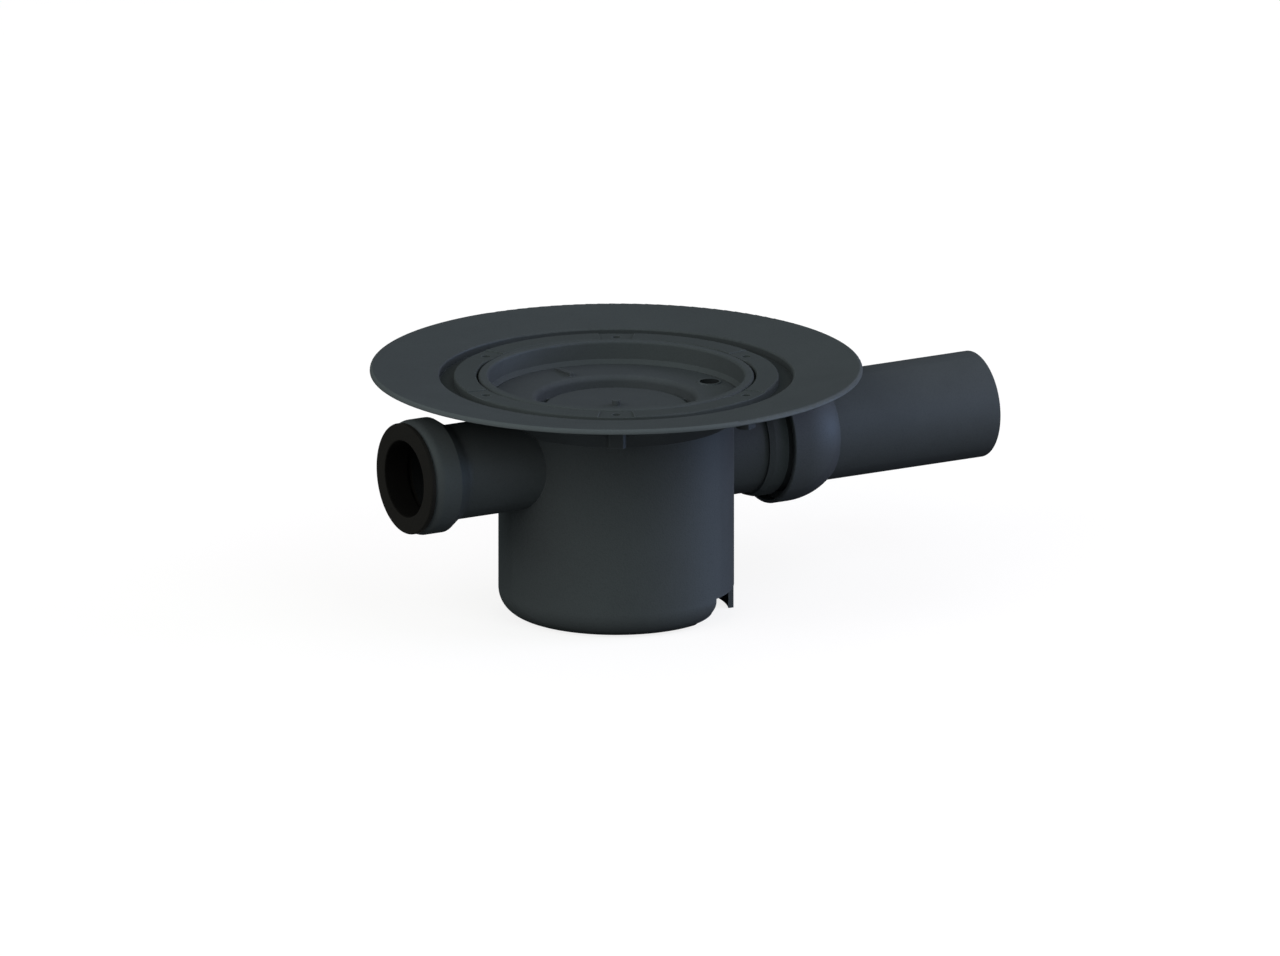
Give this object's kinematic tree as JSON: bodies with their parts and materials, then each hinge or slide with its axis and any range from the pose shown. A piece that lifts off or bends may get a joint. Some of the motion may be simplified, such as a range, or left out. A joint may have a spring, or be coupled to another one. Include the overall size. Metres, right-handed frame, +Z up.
{
  "type": "floor drain body",
  "caption": "Round floor drain body with a dished sealing flange, clamping ring, water trap pot, side inlet socket and a swivelling outlet spigot on a ball joint.",
  "frame": {"origin": "centre of the pot's flat base", "axes": "+Z up, +X along the outlet, away from the pot"},
  "size_m": [0.3076, 0.23, 0.1178],
  "materials": {
    "body_plastic": "dark slate grey moulded plastic, satin",
    "seal_rubber": "black rubber, matt"
  },
  "bodies": {
    "drain": {"drain_body": "body_plastic", "clamping_ring": "body_plastic", "inlet_tray": "body_plastic", "tray_gasket": "seal_rubber", "rodding_plug": "seal_rubber", "inlet_seal": "seal_rubber"},
    "joint_seal": {"ball_seal": "seal_rubber"},
    "joint_ring": {"retaining_ring": "body_plastic"},
    "outlet": {"outlet_pipe": "body_plastic"}
  },
  "joints": [
    {"name": "outlet_turn", "type": "hinge", "parent": "drain", "child": "joint_seal", "pos_m": [0.088, 0, 0.074], "axis": [0, 0, 1], "range_deg": [-7.5, 7.5]},
    {"name": "outlet_tilt", "type": "hinge", "parent": "joint_seal", "child": "joint_ring", "pos_m": [0.088, 0, 0.074], "axis": [0, 1, 0], "range_deg": [-7.5, 7.5]},
    {"name": "outlet_spin", "type": "hinge", "parent": "joint_ring", "child": "outlet", "pos_m": [0.088, 0, 0.074], "axis": [1, 0, 0], "continuous": true}
  ]
}
